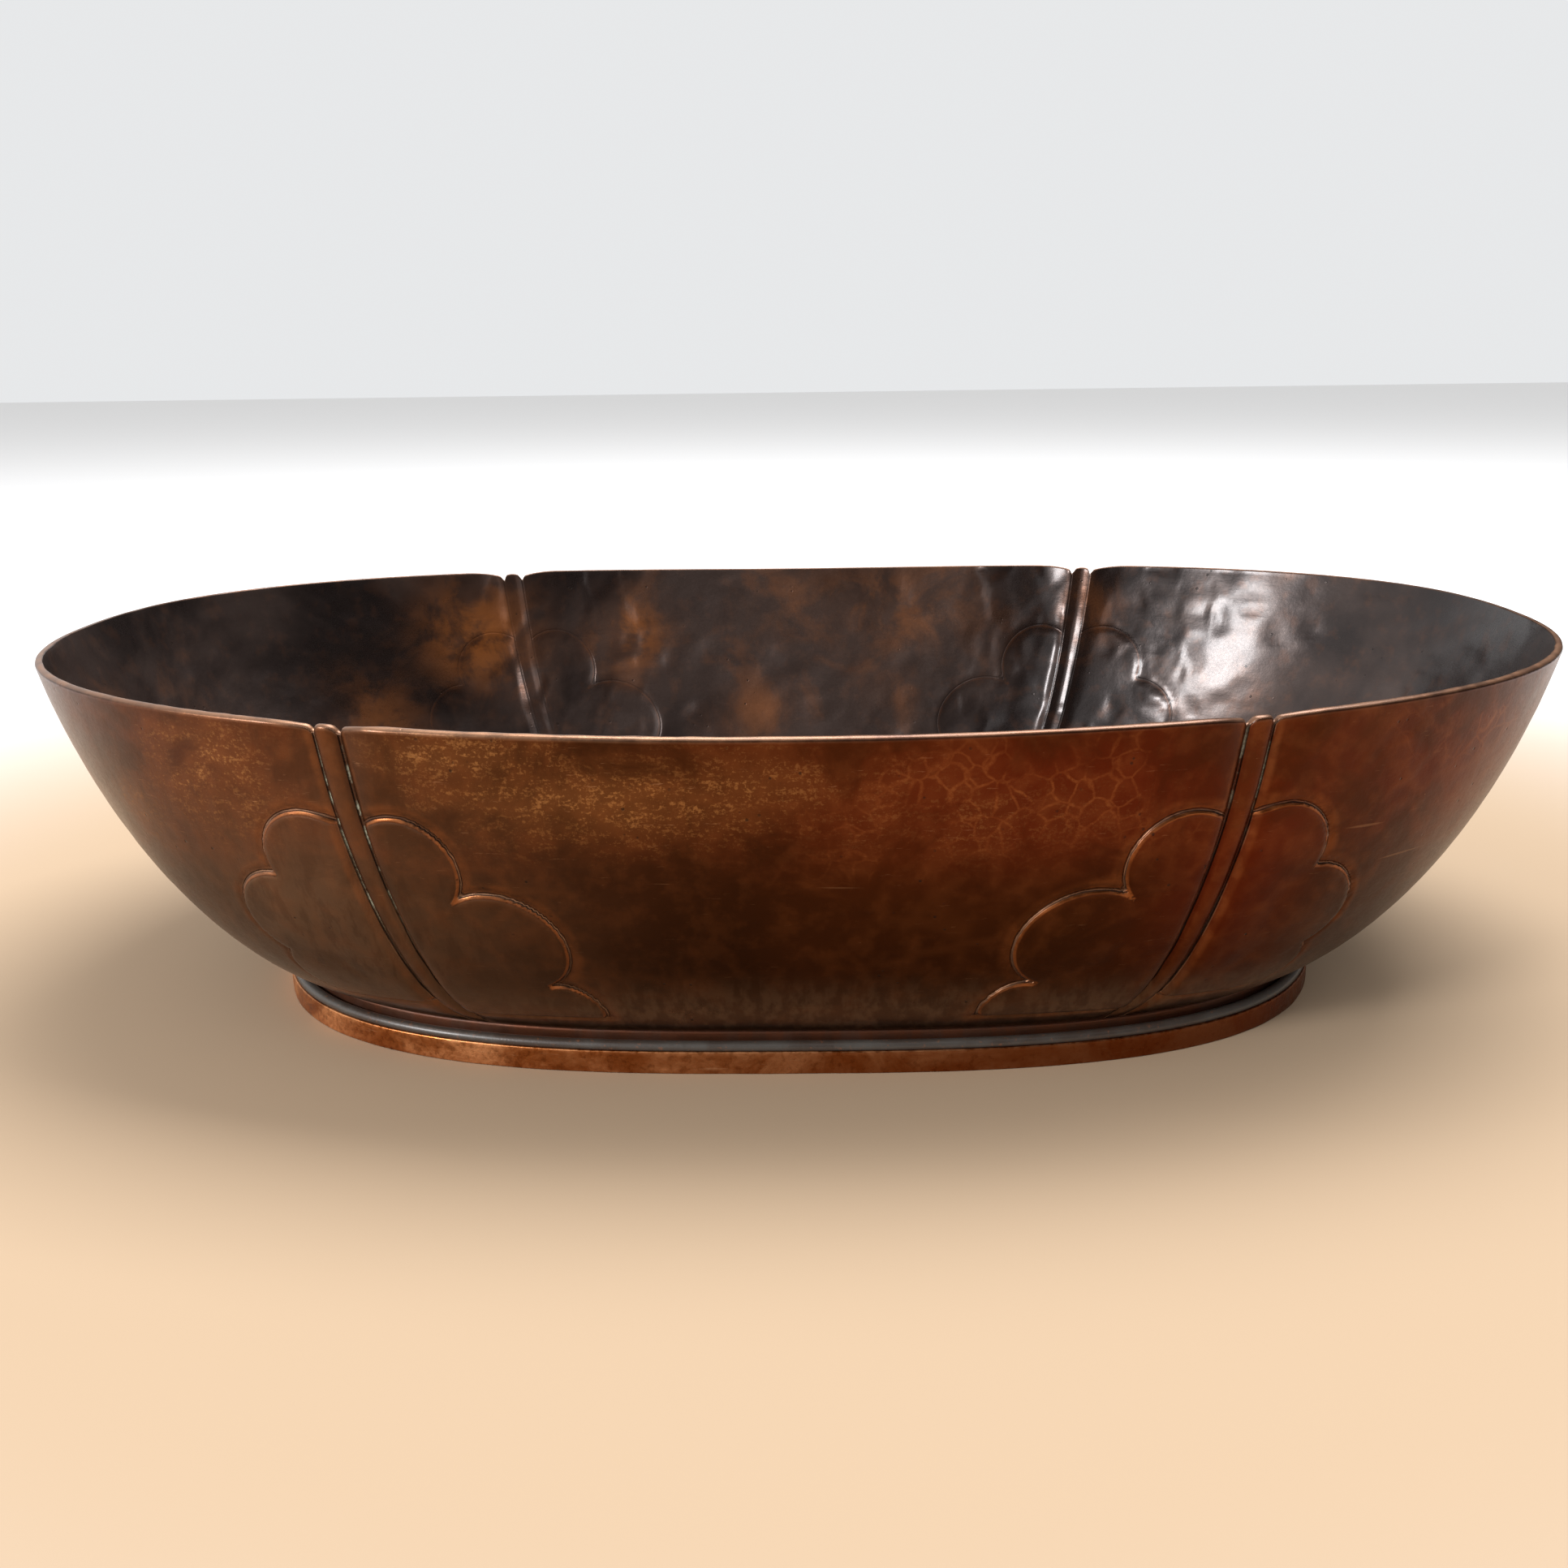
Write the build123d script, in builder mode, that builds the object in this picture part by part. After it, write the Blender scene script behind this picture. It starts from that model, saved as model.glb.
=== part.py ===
from build123d import *

import os
from math import cos, hypot, pi, radians, sin

# Footed oval bowl, raised from one copper sheet. Millimetres, +Z up, +X along the length.
# The origin is the middle of the foot, in the plane that the bowl stands on.

# ---- foot: a flat copper band round a thin collar with a coved neck -----------------------
FOOT_LENGTH = 224.0
FOOT_WIDTH = 160.0
FOOT_SQUARENESS = 2.87        # 2 is an ellipse, a larger value is nearer to a rectangle
BAND_HEIGHT = 4.5
BAND_THICKNESS = 1.2
COLLAR_SHEET = 1.2
LEDGE_DROP = 0.1              # the collar's flange lies this far below the band's top edge
NECK_INSET = 3.2              # outer face of the neck, in from the outer face of the band
COVE_RADIUS = 0.9
SEAT_HEIGHT = 7.4             # underside of the bowl
SEAM_GAP = 0.3                # butt joint where each hoop was closed, at the back
COLLAR_SOLDER_LEG = 1.5
BAND_SOLDER_LEG = 1.1
SOLDER_HOLLOW = 1.2           # radius of a fillet's hollow face, as a share of its leg

# ---- bowl ---------------------------------------------------------------------------------
RIM_LENGTH = 320.0
RIM_WIDTH = 201.1             # at full height, before the sides are trimmed to the rim line
RIM_SQUARENESS = 2.37
BOWL_TOP = 72.0
RIM_DIP = 2.6                 # the rim is this much lower at the middle of each long side
SHEET = 1.6
BASE_LIP = 0.2                # the bowl's base stands out past the neck that carries it

# The wall follows one cubic curve. Its two pulls are shares of the way from base to rim.
LOWER_PULL_UP = 0.081
UPPER_PULL_UP = 0.516
LOWER_PULL_OUT_ENDS = 0.426
UPPER_PULL_OUT_ENDS = 0.817
LOWER_PULL_OUT_SIDES = 0.383
UPPER_PULL_OUT_SIDES = 0.709

# ---- ribs: four, chased out of the same sheet ---------------------------------------------
RIB_ANGLE_RIM = 48.85         # about the bowl's axis, from +X
RIB_ANGLE_BASE = 50.5
RIB_SWEEP = 3.5               # a larger power keeps more of the turn near the base
RIB_WIDTH_RIM = 4.7
RIB_WIDTH_BASE = 3.3
RIB_HEIGHT = 0.9              # proud of the wall
NOTCH_DEPTH = 1.7             # the rim drops beside each rib
NOTCH_WIDTH = 24.0
TONGUE_HEIGHT = 0.75          # the rib's top, above the bottom of its notch

OVAL_POINTS = 32
WALL_SECTIONS = 9
RIB_SECTIONS = 7
RIM_LINE_POINTS = 13
CUTTER_MARGIN = 10.0
PAST_TOP = 1.03               # lofts run on to this share of the wall and are trimmed
SMALL_STEP = 0.01


def oval_radius(angle, half_length, half_width, squareness):
    """Distance from the axis to |x/a|^n + |y/b|^n = 1, in the direction of angle."""
    along = abs(cos(angle) / half_length) ** squareness
    across = abs(sin(angle) / half_width) ** squareness
    return (along + across) ** (-1 / squareness)


def oval_points(half_length, half_width, squareness):
    """Points round the oval, from the middle of the back long side."""
    points = []
    for step in range(OVAL_POINTS):
        angle = pi / 2 + 2 * pi * step / OVAL_POINTS
        radius = oval_radius(angle, half_length, half_width, squareness)
        points.append((radius * cos(angle), radius * sin(angle)))
    return points


def cubic(share, start, lower_pull, upper_pull, end):
    """A cubic curve's value where its pulls are shares of the way from start to end."""
    rest = 1 - share
    travel = 3 * rest**2 * share * lower_pull + 3 * rest * share**2 * upper_pull + share**3
    return start + (end - start) * travel


def cubic_rate(share, start, lower_pull, upper_pull, end):
    """The same curve's rate of change with share."""
    rest = 1 - share
    rate = rest**2 * lower_pull + 2 * rest * share * (upper_pull - lower_pull)
    rate += share**2 * (1 - upper_pull)
    return 3 * (end - start) * rate


NECK_HALF_LENGTH = FOOT_LENGTH / 2 - NECK_INSET
NECK_HALF_WIDTH = FOOT_WIDTH / 2 - NECK_INSET
ENDS_CURVE = (NECK_HALF_LENGTH + BASE_LIP, LOWER_PULL_OUT_ENDS, UPPER_PULL_OUT_ENDS, RIM_LENGTH / 2)
SIDES_CURVE = (NECK_HALF_WIDTH + BASE_LIP, LOWER_PULL_OUT_SIDES, UPPER_PULL_OUT_SIDES, RIM_WIDTH / 2)
HEIGHT_CURVE = (SEAT_HEIGHT, LOWER_PULL_UP, UPPER_PULL_UP, BOWL_TOP)
FLOOR_HEIGHT = SEAT_HEIGHT + SHEET


def wall_section(share, depth=0.0):
    """Half length, half width, squareness and height of the wall, depth in from its outside.

    share runs from 0 at the base to 1 at the top. The horizontal distance is larger than the
    depth where the wall leans out.
    """
    climb = cubic_rate(share, *HEIGHT_CURVE)
    ends_inset = depth * hypot(cubic_rate(share, *ENDS_CURVE), climb) / climb
    sides_inset = depth * hypot(cubic_rate(share, *SIDES_CURVE), climb) / climb
    half_length = cubic(share, *ENDS_CURVE) - ends_inset
    half_width = cubic(share, *SIDES_CURVE) - sides_inset
    squareness = FOOT_SQUARENESS + (RIM_SQUARENESS - FOOT_SQUARENESS) * share
    return half_length, half_width, squareness, cubic(share, *HEIGHT_CURVE)


def wall_point(share, angle):
    """Point on the outside of the wall, in the direction of angle."""
    half_length, half_width, squareness, height = wall_section(share)
    radius = oval_radius(angle, half_length, half_width, squareness)
    return Vector(radius * cos(angle), radius * sin(angle), height)


def rim_height(angle):
    """Height of the rim line, which dips at the long sides."""
    return BOWL_TOP - RIM_DIP * sin(angle) ** 2


def rib_angle(share):
    """Direction of the rib's middle line, in radians."""
    turn = (RIB_ANGLE_BASE - RIB_ANGLE_RIM) * max(0.0, 1 - share) ** RIB_SWEEP
    return radians(RIB_ANGLE_RIM + turn)


def rib_plane(share):
    """Plane square to the rib's run, with local X across the rib."""
    angle = rib_angle(share)
    origin = wall_point(share, angle)
    run = wall_point(share + SMALL_STEP, rib_angle(share + SMALL_STEP)) - origin
    across = wall_point(share, angle + SMALL_STEP) - origin
    return Plane(origin=origin, x_dir=across, z_dir=run)


def wall_ovals(depth, first_share, last_share):
    """The wall's ovals, from the base up, for a loft."""
    ovals = []
    for section in range(WALL_SECTIONS):
        share = first_share + (last_share - first_share) * section / (WALL_SECTIONS - 1)
        half_length, half_width, squareness, height = wall_section(share, depth)
        with BuildSketch(Plane.XY.offset(height)) as oval:
            with BuildLine():
                Spline(*oval_points(half_length, half_width, squareness), periodic=True)
            make_face()
        ovals.append(oval.sketch.face())
    return ovals


def rib_ellipses(last_share):
    """The ellipses of one rib, from the base up, for a loft."""
    ellipses = []
    for section in range(RIB_SECTIONS):
        share = last_share * section / (RIB_SECTIONS - 1)
        width = RIB_WIDTH_BASE + (RIB_WIDTH_RIM - RIB_WIDTH_BASE) * share
        with BuildSketch(rib_plane(share)) as ellipse:
            Ellipse(width / 2, RIB_HEIGHT)
        ellipses.append(ellipse.sketch.face())
    return ellipses


RIM_RIB_ANGLE = radians(RIB_ANGLE_RIM)
NOTCH_FLOOR = rim_height(RIM_RIB_ANGLE) - NOTCH_DEPTH
NOTCH_RADIUS = (NOTCH_WIDTH**2 / 4 + NOTCH_DEPTH**2) / (2 * NOTCH_DEPTH)

# ---- bowl_body: the raised sheet ----------------------------------------------------------
with BuildPart() as hollow:
    loft(wall_ovals(SHEET, 0.0, PAST_TOP))
    split(bisect_by=Plane.XY.offset(FLOOR_HEIGHT), keep=Keep.TOP)

with BuildPart() as rim_trim:
    rim_line = []
    for step in range(RIM_LINE_POINTS):
        angle = pi * step / (RIM_LINE_POINTS - 1)
        rim_line.append((wall_point(1.0, angle).X, rim_height(angle)))
    trim_edge = RIM_LENGTH / 2 + CUTTER_MARGIN
    trim_top = BOWL_TOP + CUTTER_MARGIN
    with BuildSketch(Plane.XZ):
        with BuildLine():
            Spline(*rim_line)
            Polyline(rim_line[-1], (-trim_edge, BOWL_TOP), (-trim_edge, trim_top),
                     (trim_edge, trim_top), (trim_edge, BOWL_TOP), rim_line[0])
        make_face()
    extrude(amount=RIM_WIDTH, both=True)

with BuildPart() as rim_notches:
    rib_top = wall_point(1.0, RIM_RIB_ANGLE)
    notch_centre = Vector(rib_top.X, rib_top.Y, NOTCH_FLOOR + NOTCH_RADIUS)
    along_rim = wall_point(1.0, RIM_RIB_ANGLE + SMALL_STEP) - rib_top
    out_of_wall = along_rim.cross(Vector(0, 0, 1))
    with BuildSketch(Plane(origin=notch_centre, x_dir=along_rim, z_dir=out_of_wall)):
        Circle(NOTCH_RADIUS)
    extrude(amount=CUTTER_MARGIN, both=True)
    mirror(about=Plane.YZ)
    mirror(about=Plane.XZ)

with BuildPart() as ribs:
    loft(rib_ellipses(PAST_TOP))
    split(bisect_by=Plane.XY.offset(NOTCH_FLOOR + TONGUE_HEIGHT), keep=Keep.BOTTOM)
    split(bisect_by=Plane.XY.offset(SEAT_HEIGHT), keep=Keep.TOP)
    mirror(about=Plane.YZ)
    mirror(about=Plane.XZ)

with BuildPart() as bowl_body:
    loft(wall_ovals(0.0, 0.0, PAST_TOP))
    add(hollow.part, mode=Mode.SUBTRACT)
    add(rim_trim.part, mode=Mode.SUBTRACT)
    add(rim_notches.part, mode=Mode.SUBTRACT)
    add(ribs.part)
bowl_body.part.label = "bowl_body"

# ---- foot: sections swept round the foot's outline ----------------------------------------
# In each section local X is the distance in from the band's outer face, local Y the height.
SECTION_PLANE = Plane(origin=(0, FOOT_WIDTH / 2, 0), x_dir=(0, -1, 0), z_dir=(-1, 0, 0))
LEDGE_HEIGHT = BAND_HEIGHT - LEDGE_DROP
FLANGE_UNDERSIDE = LEDGE_HEIGHT - COLLAR_SHEET
NECK_INNER = NECK_INSET + COLLAR_SHEET
BEND_RADIUS = COVE_RADIUS + COLLAR_SHEET
COVE_START = (NECK_INSET - COVE_RADIUS, LEDGE_HEIGHT)
COVE_END = (NECK_INSET, LEDGE_HEIGHT + COVE_RADIUS)
BEND_START = (NECK_INNER, FLANGE_UNDERSIDE + BEND_RADIUS)
BEND_END = (NECK_INNER - BEND_RADIUS, FLANGE_UNDERSIDE)

with BuildLine() as foot_outline:
    Spline(*oval_points(FOOT_LENGTH / 2, FOOT_WIDTH / 2, FOOT_SQUARENESS), periodic=True)

with BuildSketch(SECTION_PLANE) as band_section:
    with BuildLine():
        Polyline((0, 0), (BAND_THICKNESS, 0), (BAND_THICKNESS, BAND_HEIGHT), (0, BAND_HEIGHT),
                 close=True)
    make_face()

# The band is swept past the plane it stands on and cut there, which makes its base truly flat.
with BuildSketch(SECTION_PLANE) as long_band_section:
    with BuildLine():
        Polyline((0, -BAND_HEIGHT), (BAND_THICKNESS, -BAND_HEIGHT), (BAND_THICKNESS, BAND_HEIGHT),
                 (0, BAND_HEIGHT), close=True)
    make_face()

with BuildSketch(SECTION_PLANE) as collar_section:
    with BuildLine():
        RadiusArc(COVE_START, COVE_END, -COVE_RADIUS)
        Polyline(COVE_END, (NECK_INSET, SEAT_HEIGHT), (NECK_INNER, SEAT_HEIGHT), BEND_START)
        RadiusArc(BEND_START, BEND_END, BEND_RADIUS)
        Polyline(BEND_END, (BAND_THICKNESS, FLANGE_UNDERSIDE), (BAND_THICKNESS, LEDGE_HEIGHT),
                 COVE_START)
    make_face()


def solder_section(corner, leg):
    """Concave triangle of solder under an inside corner, on the section plane."""
    inset, height = corner
    with BuildSketch(SECTION_PLANE) as section:
        with BuildLine():
            Polyline((inset, height - leg), corner, (inset + leg, height))
            RadiusArc((inset + leg, height), (inset, height - leg), -SOLDER_HOLLOW * leg)
        make_face()
    return section


collar_solder_section = solder_section((NECK_INNER, SEAT_HEIGHT), COLLAR_SOLDER_LEG)
band_solder_section = solder_section((BAND_THICKNESS, FLANGE_UNDERSIDE), BAND_SOLDER_LEG)

# Both hoops are strips bent round and butted at the back, where solder closes the joint.
with BuildPart() as seam_slot:
    with BuildSketch(SECTION_PLANE):
        Rectangle(2 * (NECK_INNER + CUTTER_MARGIN), 2 * (SEAT_HEIGHT + CUTTER_MARGIN))
    extrude(amount=SEAM_GAP / 2, both=True)

with BuildPart() as foot_band:
    sweep(long_band_section.sketch, path=foot_outline.wire())
    split(bisect_by=Plane.XY, keep=Keep.TOP)
    add(seam_slot.part, mode=Mode.SUBTRACT)
foot_band.part.label = "foot_band"

with BuildPart() as foot_collar:
    sweep(collar_section.sketch, path=foot_outline.wire())
    add(seam_slot.part, mode=Mode.SUBTRACT)
foot_collar.part.label = "foot_collar"

with BuildPart() as collar_solder:
    sweep(collar_solder_section.sketch, path=foot_outline.wire())
collar_solder.part.label = "collar_solder"

with BuildPart() as band_solder:
    sweep(band_solder_section.sketch, path=foot_outline.wire())
band_solder.part.label = "band_solder"

with BuildPart() as band_seam_solder:
    extrude(band_section.sketch, amount=SEAM_GAP / 2, both=True)
band_seam_solder.part.label = "band_seam_solder"

with BuildPart() as collar_seam_solder:
    extrude(collar_section.sketch, amount=SEAM_GAP / 2, both=True)
collar_seam_solder.part.label = "collar_seam_solder"

# ---- one file per piece -------------------------------------------------------------------
os.makedirs("parts", exist_ok=True)
PIECES = (bowl_body, foot_collar, foot_band, collar_solder, band_solder,
          collar_seam_solder, band_seam_solder)
for piece in PIECES:
    export_step(piece.part, f"parts/{piece.part.label}.step")
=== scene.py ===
"""Looks of a footed oval bowl: raised and chased copper sheet on a beaded foot, in a plain studio."""
import math

import bpy
import numpy as np
from bpy.props import FloatProperty, FloatVectorProperty, IntProperty, PointerProperty
from bpy.types import Operator, Panel, PropertyGroup
from mathutils import Matrix, Vector, kdtree, noise


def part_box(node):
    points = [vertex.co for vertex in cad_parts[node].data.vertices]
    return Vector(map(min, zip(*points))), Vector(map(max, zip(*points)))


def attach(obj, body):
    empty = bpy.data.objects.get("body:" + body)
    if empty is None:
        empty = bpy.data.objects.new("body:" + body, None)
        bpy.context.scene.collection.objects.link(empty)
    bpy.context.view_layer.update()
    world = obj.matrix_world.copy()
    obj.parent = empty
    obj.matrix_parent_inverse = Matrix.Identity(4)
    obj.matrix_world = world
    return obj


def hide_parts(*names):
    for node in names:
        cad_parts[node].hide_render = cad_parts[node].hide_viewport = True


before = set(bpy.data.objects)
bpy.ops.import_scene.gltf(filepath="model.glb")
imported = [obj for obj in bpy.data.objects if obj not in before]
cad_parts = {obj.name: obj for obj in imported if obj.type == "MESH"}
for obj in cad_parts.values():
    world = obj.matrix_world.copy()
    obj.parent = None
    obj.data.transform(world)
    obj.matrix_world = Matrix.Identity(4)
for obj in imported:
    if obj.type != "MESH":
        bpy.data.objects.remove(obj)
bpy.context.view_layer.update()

bl_info = {
    "name": "Raised copper bowl",
    "version": (1, 0, 0),
    "blender": (4, 5, 0),
    "location": "3D View > Sidebar > Bowl",
    "description": "Builds a chased copper bowl, its foot and a plain studio round a packed frame",
    "category": "Add Mesh",
}

# Sizes below are in millimetres, as on a maker's drawing. Meshes are written in metres.
MM = 0.001
BODY_LOW, BODY_HIGH = (np.array(corner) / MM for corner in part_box("bowl_body"))
_, BAND_HIGH = (np.array(corner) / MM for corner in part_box("foot_band"))
COLLAR_LOW, COLLAR_HIGH = (np.array(corner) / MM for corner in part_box("foot_collar"))

# The wall's construction, as in the frame's solids
FOOT_SQUARENESS = 2.87
RIM_SQUARENESS = 2.37
NECK_INSET = 3.2
BASE_LIP = 0.2
SIDE_TRIM = 1.1                 # width that the sides lose where the rim is cut down
SEAT_HEIGHT = BODY_LOW[2]
BOWL_TOP = BODY_HIGH[2]
HEIGHT_CURVE = (SEAT_HEIGHT, 0.081, 0.516, BOWL_TOP)
ENDS_CURVE = (BAND_HIGH[0] - NECK_INSET + BASE_LIP, 0.426, 0.817, BODY_HIGH[0])
SIDES_CURVE = (BAND_HIGH[1] - NECK_INSET + BASE_LIP, 0.383, 0.709, BODY_HIGH[1] + SIDE_TRIM / 2)
RIB_ANGLE_RIM = math.radians(48.85)
RIB_ANGLE_BASE = math.radians(50.5)
RIB_SWEEP = 3.5
BAND_THICKNESS = 1.2
FLANGE_BEND = 0.9               # outer radius where the collar's neck turns out into its flange
COLLAR_RISE = 3.0               # from the flange's face, under the bead, to the bowl's seat
FLOOR_COVE = 5.5                # the wall turns into the floor over this height
FAR_OFF = 30.0
EASING_IN = 0.12                # keeps the uneven skin inside the frame's box
SOLDER_NODES = ("collar_solder", "band_solder", "collar_seam_solder", "band_seam_solder")

# The hollows rolled beside the ribs, and the planishing marks as shares of a mark's width
ROLL_REACH = 3.6                # run of a hollow from its rib, low on the wall
ROLL_FALL = 2.4                 # how much steeper a hollow is beside its rib than where it runs out
MARK_STRAY = 0.48               # how far a mark's middle strays from its place
MARK_EDGE = 0.4                 # width over which the edge between two marks is rounded
MARK_RIDGE = 0.18               # height of that edge, for the marks' slope
WAVELENGTH = 34.0               # of the sheet's slow unevenness

# The rounded bead on the collar: middle, in from the band's face and up from the flange, and radius
FLANGE_LIFT = 0.01              # the visible flange's face lies this far above the frame's
BEAD_INSET = 1.5
BEAD_UP = 0.55
BEAD_RADIUS = 1.15
BAND_EDGE = 0.28                # radius of the band's broken edges
BAND_UNEVENNESS = 0.10          # how far the band's faces wander inwards
HALF_SEAM = 0.15                # half the gap where a strip's ends are butted

# Rows and rings of the meshes
OUTSIDE_ROWS = 126
INSIDE_ROWS = 58
FLOOR_RINGS = 84
UNDER_RINGS = 10
RIM_RINGS = 5
HOOP_COLUMNS = 900
COLUMN_LEVEL = 0.75             # share of the wall's height where its columns are spaced
RIB_COLUMN = 0.44               # width of a column at a rib
LOBE_COLUMN = 0.30              # added to it over the lobes
PLAIN_COLUMN = 1.5              # added to both over the plain wall
RIM_SHINE = (0.15, 0.45, 0.85, 1.0, 0.8, 0.5)   # of the rim's rings, from outside to inside

# The stage, in metres
FLOOR_REACH = 4.0
FLOOR_FADE = (0.19, 0.50)       # distances from the bowl over which the floor turns paler
CARD_BOTTOM = 0.02
CARDS = (("right_card", (0.9, -1.2), (0.9, 1.2), 1.3), ("front_card", (-0.25, -0.95), (0.9, -0.95), 1.3),
         ("back_card", (-0.15, 1.2), (1.0, 1.2), 0.9))
DAYLIGHT = (0.97, 0.98, 1.0)
SOFTBOXES = (("window_light", (-1.80, -1.40, 0.95), (0.0, 0.0, 0.05), (0.62, 0.46), 44.0),
             ("top_light", (0.25, 0.4, 1.3), (0.1, 0.0, 0.05), (1.1, 0.8), 27.0))


# ---- sizes, colours and studio settings that a user can change -----------------------------
def measure(label, words, value, **limits):
    return FloatProperty(name=label, description=words, default=value, **limits)


def slant(label, words, degrees):
    return FloatProperty(name=label, description=words, default=math.radians(degrees), subtype="ANGLE")


def colour(label, words, value):
    return FloatVectorProperty(name=label, description=words, default=value, subtype="COLOR",
                               min=0.0, max=1.0)


class BowlShape(PropertyGroup):
    """Sizes of the raised and chased sheet, in millimetres."""
    sheet: measure("Sheet", "Thickness of the sheet", 1.6, min=0.5)
    rim_dip: measure("Rim dip", "Drop of the rim at the long sides", 2.6)
    rim_round: measure("Rim round", "Height of the rounded rim edge", 0.55)
    rib_width_rim: measure("Rib at rim", "Rib width at the rim", 4.7)
    rib_width_base: measure("Rib at base", "Rib width at the foot", 3.4)
    notch_depth: measure("Notch", "Drop of the rim beside a rib", 1.5)
    notch_reach: measure("Notch reach", "Run of that drop along the rim", 11.0)
    tongue: measure("Tongue", "Rise of the rib's tip from its notch", 0.85)
    cleft: measure("Cleft", "Nick in the rim at each groove", 1.0)
    roll_rim: measure("Roll at rim", "Depth of the groove at the rim", 2.2)
    roll_wall: measure("Roll on wall", "Depth of the groove lower down", 0.95)
    lobe_rise: measure("Lobe rise", "Height of the chased lobes", 0.55)
    line_depth: measure("Line depth", "Depth of the chased outline", 0.38)
    facet: measure("Facet", "Width of one planishing mark", 7.0)
    facet_tilt: measure("Facet tilt", "Slope of the marks outside", 0.010)
    facet_tilt_in: measure("Facet tilt inside", "Slope of the marks inside", 0.042)
    wave: measure("Wave", "Slow unevenness of the sheet", 0.14)
    seed: IntProperty(name="Seed", description="Arrangement of the hammer marks", default=7)


class CopperFinish(PropertyGroup):
    """Colours of the copper, its patina and what sits in its grooves."""
    patina: colour("Patina", "Brown patina outside", (0.062, 0.0150, 0.0015))
    # Also used as painted shade on the band's right half, and in blotches on the upper outer wall as part of
    # a painted reflection
    red_patina_and_shade: colour("Red patina", "Redder patches of it", (0.098, 0.0105, 0.0007))
    # Painted sheen: a greyer, paler brown that stands in for the window and floor reflected in the metal
    painted_sheen: colour("Dull patina", "Greyer brown, waxed and handled", (0.172, 0.099, 0.058))
    # Also used as painted shade: on the lower outer wall, on the band's under faces and in streaks through
    # the painted sheen
    dark_patina_and_shade: colour("Dark patina", "Darkest patches of it", (0.034, 0.0088, 0.0010))
    rubbed: colour("Rubbed copper", "Copper where the patina is rubbed thin", (0.34, 0.110, 0.032))
    gilt: colour("Gilt wear", "Fine golden speckle of worn patina", (0.36, 0.165, 0.055))
    bare: colour("Bare copper", "Bright scratches and nicks", (0.80, 0.45, 0.24))
    # Painted highlight along the chased edges, partly handled wear
    lip: colour("Lip", "Pale handled copper along the chased edges", (0.50, 0.29, 0.18))
    rim: colour("Rim", "Copper along the rim's edge", (0.38, 0.19, 0.10))
    inside: colour("Inside patina", "Near-black patina inside", (0.066, 0.042, 0.034))
    inside_dark: colour("Inside dark", "Darkest patina inside", (0.020, 0.0125, 0.011))
    inside_rubbed: colour("Inside rubbed", "Thin patina inside", (0.43, 0.135, 0.029))
    verdigris: colour("Verdigris", "Pale green bloom in the grooves", (0.36, 0.38, 0.28))
    # Also used as painted shade in the collar's corners and on its hidden faces
    grime_and_shade: colour("Grime", "Wax and dirt in the grooves", (0.016, 0.010, 0.007))
    band: colour("Band copper", "Bright copper of the foot's band", (0.62, 0.27, 0.11))
    band_dull: colour("Band dull", "Duller copper on the band", (0.36, 0.11, 0.028))
    collar: colour("Collar", "Grey patina of the collar's bead", (0.072, 0.063, 0.054))
    neck: colour("Neck", "Red-brown patina of the collar's neck", (0.135, 0.042, 0.017))
    solder: colour("Solder", "Tarnished hard solder", (0.24, 0.20, 0.16))


class StudioSettings(PropertyGroup):
    """The camera, floor and lights."""
    lens: FloatProperty(name="Lens", description="Focal length", default=36.06, unit="CAMERA")
    place: FloatVectorProperty(name="Camera", description="Where the camera stands",
                               default=(0.00275, -0.34705, 0.13142), subtype="TRANSLATION")
    turn: slant("Turn", "Turn to the left", 0.917)
    tilt: slant("Tilt", "Tilt below level", 15.726)
    roll: slant("Roll", "Roll about the view", -0.778)
    floor: colour("Floor", "Plain pale floor", (0.45, 0.322, 0.208))
    far_floor: colour("Far floor", "Paler floor away from the bowl", (0.80, 0.79, 0.78))
    room: colour("Room", "Pale walls all round", (0.80, 0.81, 0.82))
    card: colour("Cards", "Dark cards that the polished metal reflects", (0.05, 0.042, 0.038))


# ---- shader maths --------------------------------------------------------------------------
class Varying:
    """A number that varies over a surface, so that shader maths reads as plain expressions."""

    def __init__(self, finish, socket):
        self.finish = finish
        self.socket = socket

    def maths(self, operation, *values):
        return self.finish.add("ShaderNodeMath", {"operation": operation}, dict(enumerate(values)))

    def __add__(self, other):
        return self.maths("ADD", self, other)

    __radd__ = __add__

    def __sub__(self, other):
        return self.maths("SUBTRACT", self, other)

    def __rsub__(self, other):
        return self.maths("SUBTRACT", other, self)

    def __mul__(self, other):
        return self.maths("MULTIPLY", self, other)

    __rmul__ = __mul__

    def size(self):
        return self.maths("ABSOLUTE", self)

    def step(self, low, high):
        """0 below low, 1 above high, smooth between. low may be the larger, for a falling step."""
        return self.finish.add("ShaderNodeMapRange", {"interpolation_type": "SMOOTHSTEP"},
                               {"Value": self, "From Min": low, "From Max": high})

    def clamped(self):
        return self.finish.add("ShaderNodeClamp", {}, {"Value": self})


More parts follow.
